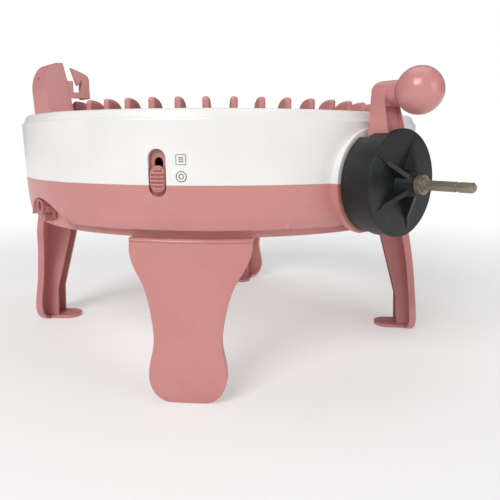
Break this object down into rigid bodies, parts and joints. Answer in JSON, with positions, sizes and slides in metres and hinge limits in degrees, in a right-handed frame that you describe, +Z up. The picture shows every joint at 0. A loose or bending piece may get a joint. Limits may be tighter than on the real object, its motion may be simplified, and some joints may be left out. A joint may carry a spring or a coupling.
{
  "type": "circular knitting machine",
  "caption": "Hand-cranked circular knitting machine on four legs, with a turning needle cylinder, yarn guide, mode switch and a drill adapter cup with hex bit on its crank.",
  "frame": {"origin": "on the needle cylinder's axis at table level", "axes": "+Z up along the cylinder's axis, -Y to the front leg, the crank points out between +X and -Y"},
  "size_m": [0.3708, 0.3708, 0.2308],
  "materials": {
    "white_abs": "gloss moulded",
    "pink_abs": "gloss moulded",
    "dark_pink_abs": "moulded, satin",
    "black_pla": "printed in layers",
    "steel": "turned",
    "zinc": "zinc plated",
    "needle_white": "moulded acetal",
    "marker_dark": "moulded acetal",
    "gear_acetal": "moulded acetal"
  },
  "bodies": {
    "base": {"upper_shell": "white_abs", "lower_shell": "pink_abs", "leg_front": "pink_abs", "leg_right": "pink_abs", "leg_rear": "pink_abs", "leg_left": "pink_abs", "cam_ring": "needle_white", "cam_screws": "zinc", "shell_screws": "zinc", "shaft_bush": "gear_acetal", "switch_track": "pink_abs", "track_screws": "zinc", "yarn_guide_hood": "pink_abs", "yarn_feeder": "pink_abs", "guide_screws": "zinc", "side_socket": "dark_pink_abs", "socket_screw": "zinc"},
    "needle_bed": {"needle_cylinder": "pink_abs", "ring_gear": "gear_acetal", "gear_screws": "zinc", "needles": "needle_white", "needle_latches": "needle_white", "marker_needle": "marker_dark", "marker_latch": "marker_dark"},
    "crank": {"crank_shaft": "steel", "pinion": "gear_acetal", "shaft_clip": "zinc", "crank_arm": "pink_abs", "crank_screw": "zinc", "knob_pin": "steel"},
    "knob": {"crank_knob": "pink_abs"},
    "drill_cup": {"drill_adapter": "black_pla"},
    "bit": {"hex_bit": "steel", "detent_ball": "steel", "detent_spring": "zinc"},
    "mode_switch": {"switch_slider": "pink_abs", "stop_pawl": "gear_acetal", "switch_screw": "zinc"}
  },
  "joints": [
    {"name": "ring_spin", "type": "hinge", "parent": "base", "child": "needle_bed", "pos_m": [0, 0, 0.1469], "axis": [0, 0, 1], "continuous": true},
    {"name": "crank_spin", "type": "hinge", "parent": "base", "child": "crank", "pos_m": [0.12622, -0.12622, 0.1469], "axis": [0.7071, -0.7071, 0], "continuous": true},
    {"name": "knob_spin", "type": "hinge", "parent": "crank", "child": "knob", "pos_m": [0.1492, -0.1492, 0.2074], "axis": [0.7071, -0.7071, 0], "continuous": true},
    {"name": "adapter_pull", "type": "slide", "parent": "crank", "child": "drill_cup", "axis": [0.7071, -0.7071, 0], "range_m": [0, 0.03]},
    {"name": "bit_pull", "type": "slide", "parent": "drill_cup", "child": "bit", "axis": [0.7071, -0.7071, 0], "range_m": [0, 0.014]},
    {"name": "switch_slide", "type": "slide", "parent": "base", "child": "mode_switch", "axis": [0, 0, 1], "range_m": [0, 0.009]}
  ],
  "couplings": [
    {"joint": "crank_spin", "follows": "ring_spin", "ratio": 10}
  ]
}
